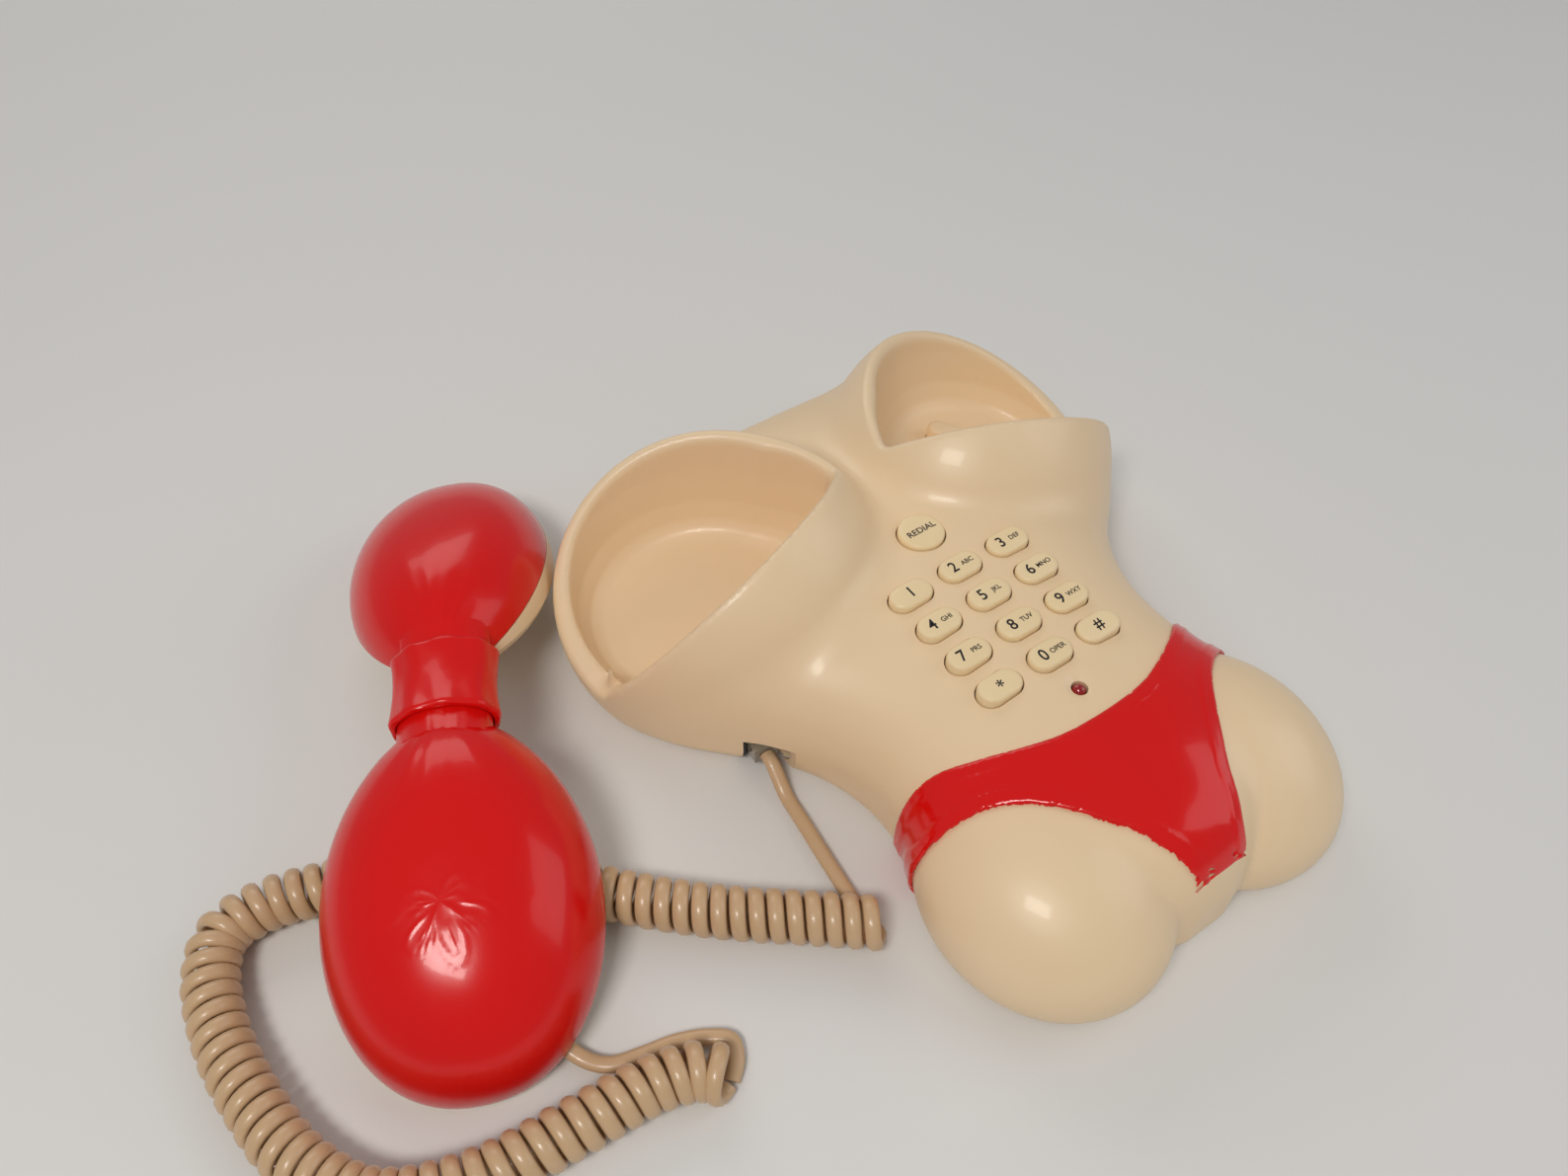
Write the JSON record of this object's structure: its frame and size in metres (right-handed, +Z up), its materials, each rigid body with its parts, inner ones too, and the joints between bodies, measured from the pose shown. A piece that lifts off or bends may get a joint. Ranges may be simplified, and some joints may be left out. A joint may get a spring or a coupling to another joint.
{
  "type": "novelty shaped telephone",
  "caption": "Corded novelty telephone: torso-shaped base with dial keys and two cradle bowls, and a two-cup handset lying beside it on a curly cord.",
  "frame": {"origin": "middle of the underside of the base and the handset taken together, on the table", "axes": "+X across the base from its left bowl to its right bowl, +Y from the crotch end to the neck end, +Z up"},
  "size_m": [0.3392, 0.2664, 0.0663],
  "materials": {
    "ivory": "satin ivory moulding",
    "key": "satin, a little yellower than the body",
    "red": "high gloss red",
    "lamp": "clear red lens",
    "rubber": "dull black",
    "mat": "grey silicone",
    "board": "green laminate",
    "black": "black moulding",
    "steel": "zinc plated",
    "brass": "thin brass disc",
    "clear": "clear, slightly amber plug",
    "cord": "beige vinyl"
  },
  "bodies": {
    "base_body": {"base_upper_shell": "ivory", "base_lower_cover": "ivory", "briefs_trim": "red", "key_mat": "mat", "key_board": "board", "main_chip": "black", "message_lamp": "lamp", "hook_switch": "black", "ringer_sounder": "brass", "ballast_plate": "steel", "base_cord_jack": "black", "line_jack": "black", "ringer_switch_body": "black", "tone_switch_body": "black", "base_plug": "clear", "coil_cord": "cord", "base_lead": "cord", "handset_lead": "cord", "case_screw_1": "steel", "foot_1": "rubber", "case_screw_2": "steel", "foot_2": "rubber", "case_screw_3": "steel", "foot_3": "rubber", "case_screw_4": "steel", "foot_4": "rubber"},
    "handset_body": {"handset_upper_shell": "red", "handset_lower_shell": "ivory", "handset_cord_jack": "black", "handset_screw_1": "steel", "handset_screw_2": "steel", "handset_plug": "clear", "knot_band": "red", "receiver": "black", "microphone_boot": "rubber", "microphone": "steel", "balance_weight": "steel"},
    "hook_plunger": {"hook_plunger": "ivory"},
    "key_0": {"key_0": "key"},
    "key_1": {"key_1": "key"},
    "key_2": {"key_2": "key"},
    "key_3": {"key_3": "key"},
    "key_4": {"key_4": "key"},
    "key_5": {"key_5": "key"},
    "key_6": {"key_6": "key"},
    "key_7": {"key_7": "key"},
    "key_8": {"key_8": "key"},
    "key_9": {"key_9": "key"},
    "key_hash": {"key_hash": "key"},
    "key_redial": {"key_redial": "key"},
    "key_star": {"key_star": "key"},
    "ringer_switch_knob": {"ringer_switch_knob": "black"},
    "tone_switch_knob": {"tone_switch_knob": "black"}
  },
  "joints": [
    {"name": "key_1_press", "type": "slide", "parent": "base_body", "child": "key_1", "axis": [0, 0, -1], "range_m": [0, 0.0014], "stiffness_N_per_m": 180, "springref_m": -0.0014},
    {"name": "key_2_press", "type": "slide", "parent": "base_body", "child": "key_2", "axis": [0, 0, -1], "range_m": [0, 0.0014], "stiffness_N_per_m": 180, "springref_m": -0.0014},
    {"name": "key_3_press", "type": "slide", "parent": "base_body", "child": "key_3", "axis": [0, 0, -1], "range_m": [0, 0.0014], "stiffness_N_per_m": 180, "springref_m": -0.0014},
    {"name": "key_4_press", "type": "slide", "parent": "base_body", "child": "key_4", "axis": [0, 0, -1], "range_m": [0, 0.0014], "stiffness_N_per_m": 180, "springref_m": -0.0014},
    {"name": "key_5_press", "type": "slide", "parent": "base_body", "child": "key_5", "axis": [0, 0, -1], "range_m": [0, 0.0014], "stiffness_N_per_m": 180, "springref_m": -0.0014},
    {"name": "key_6_press", "type": "slide", "parent": "base_body", "child": "key_6", "axis": [0, 0, -1], "range_m": [0, 0.0014], "stiffness_N_per_m": 180, "springref_m": -0.0014},
    {"name": "key_7_press", "type": "slide", "parent": "base_body", "child": "key_7", "axis": [0, 0, -1], "range_m": [0, 0.0014], "stiffness_N_per_m": 180, "springref_m": -0.0014},
    {"name": "key_8_press", "type": "slide", "parent": "base_body", "child": "key_8", "axis": [0, 0, -1], "range_m": [0, 0.0014], "stiffness_N_per_m": 180, "springref_m": -0.0014},
    {"name": "key_9_press", "type": "slide", "parent": "base_body", "child": "key_9", "axis": [0, 0, -1], "range_m": [0, 0.0014], "stiffness_N_per_m": 180, "springref_m": -0.0014},
    {"name": "key_0_press", "type": "slide", "parent": "base_body", "child": "key_0", "axis": [0, 0, -1], "range_m": [0, 0.0014], "stiffness_N_per_m": 180, "springref_m": -0.0014},
    {"name": "key_star_press", "type": "slide", "parent": "base_body", "child": "key_star", "axis": [0, 0, -1], "range_m": [0, 0.0014], "stiffness_N_per_m": 180, "springref_m": -0.0014},
    {"name": "key_hash_press", "type": "slide", "parent": "base_body", "child": "key_hash", "axis": [0, 0, -1], "range_m": [0, 0.0014], "stiffness_N_per_m": 180, "springref_m": -0.0014},
    {"name": "key_redial_press", "type": "slide", "parent": "base_body", "child": "key_redial", "axis": [0, 0, -1], "range_m": [0, 0.0014], "stiffness_N_per_m": 180, "springref_m": -0.0014},
    {"name": "hook_plunger_press", "type": "slide", "parent": "base_body", "child": "hook_plunger", "axis": [0, 0, -1], "range_m": [0, 0.0022], "stiffness_N_per_m": 120, "springref_m": -0.002},
    {"name": "ringer_switch_slide", "type": "slide", "parent": "base_body", "child": "ringer_switch_knob", "axis": [1, 0, 0], "range_m": [-0.0018, 0.0018]},
    {"name": "tone_switch_slide", "type": "slide", "parent": "base_body", "child": "tone_switch_knob", "axis": [1, 0, 0], "range_m": [-0.0018, 0.0018]},
    {"name": "handset_lift", "type": "slide", "parent": "base_body", "child": "handset_body", "axis": [0, 0, 1], "range_m": [0, 0.12]}
  ]
}
